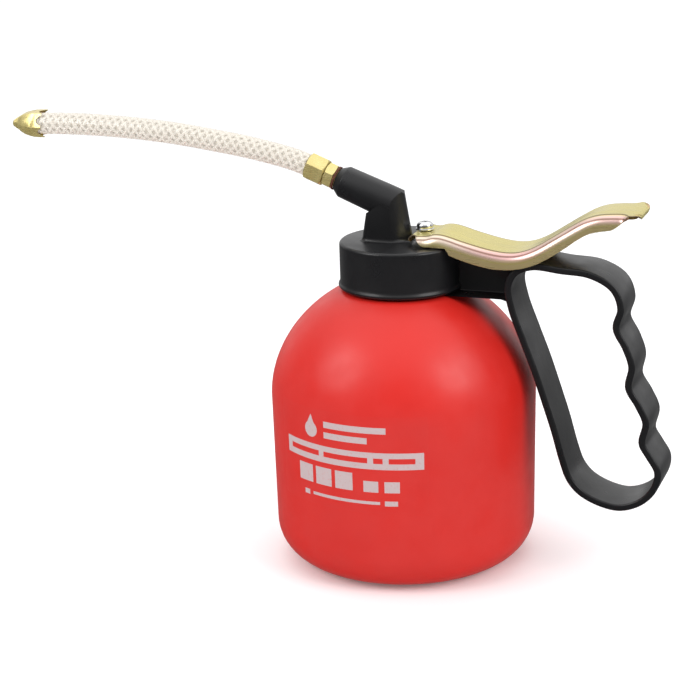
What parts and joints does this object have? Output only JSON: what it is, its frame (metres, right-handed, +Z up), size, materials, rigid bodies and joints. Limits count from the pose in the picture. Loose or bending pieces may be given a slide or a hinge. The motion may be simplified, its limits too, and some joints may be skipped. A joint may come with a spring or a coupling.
{
  "type": "oil can",
  "caption": "Plastic oil can with a domed bottle, a finger-grip loop handle, a thumb lever pump and a braided hose spout with a tapered nozzle.",
  "frame": {"origin": "centre of the bottle's flat base, on the surface that the can stands on", "axes": "+Z up along the bottle's axis; +X towards the handle, so the spout points along -X; Y across the lever"},
  "size_m": [0.2445, 0.094, 0.1559],
  "materials": {
    "red_plastic": "satin blow-moulded",
    "black_plastic": "satin moulded",
    "yellow_zinc": "yellow zinc plated sheet steel",
    "brass": "turned from hexagon bar",
    "chrome": "bright plated",
    "bright_steel": "bright drawn",
    "pump_plastic": "natural nylon",
    "hose_plastic": "clear with a white braid",
    "seal_rubber": "moulded",
    "fibre": "red-brown sealing fibre"
  },
  "bodies": {
    "bottle": {"bottle": "red_plastic"},
    "gasket": {"neck_gasket": "seal_rubber"},
    "head": {"head_and_handle": "black_plastic", "spout_tower": "black_plastic", "outlet_block": "pump_plastic", "outlet_seat": "brass", "outlet_spring": "bright_steel", "rod_gland": "brass", "rod_seal": "seal_rubber", "return_spring": "bright_steel", "pump_barrel": "pump_plastic", "dip_tube": "hose_plastic", "strainer": "pump_plastic", "connector_washer": "fibre", "hose_connector": "brass", "hose_nut": "brass", "hose": "hose_plastic", "nozzle": "brass"},
    "lever": {"lever": "yellow_zinc"},
    "plunger": {"lever_screw": "chrome", "screw_washer": "chrome", "plunger_rod": "bright_steel", "piston": "pump_plastic", "piston_ring": "seal_rubber"},
    "inlet_valve": {"inlet_ball": "bright_steel"},
    "outlet_valve": {"outlet_ball": "bright_steel"}
  },
  "joints": [
    {"name": "head_lift", "type": "slide", "parent": "bottle", "child": "gasket", "axis": [0, 0, 1], "range_m": [0, 0.112]},
    {"name": "head_unscrew", "type": "hinge", "parent": "gasket", "child": "head", "pos_m": [0, 0, 0.105], "axis": [0, 0, 1], "range_deg": [0, 540]},
    {"name": "lever_press", "type": "hinge", "parent": "head", "child": "lever", "pos_m": [0.0193, 0, 0.11551], "axis": [0, 1, 0], "range_deg": [0, 7], "stiffness_Nm_per_rad": 4, "springref_deg": -3.44},
    {"name": "plunger_stroke", "type": "slide", "parent": "head", "child": "plunger", "axis": [0, 0, 1], "range_m": [0, 0.0017], "deforming": ["return_spring"]},
    {"name": "inlet_lift", "type": "slide", "parent": "head", "child": "inlet_valve", "axis": [0, 0, 1], "range_m": [0, 0.0012]},
    {"name": "outlet_lift", "type": "slide", "parent": "head", "child": "outlet_valve", "axis": [0, 0, 1], "range_m": [0, 0.0012], "stiffness_N_per_m": 60, "springref_m": -0.002, "deforming": ["outlet_spring"]}
  ],
  "couplings": [
    {"joint": "plunger_stroke", "follows": "lever_press", "m_per_rad": 0.013}
  ]
}
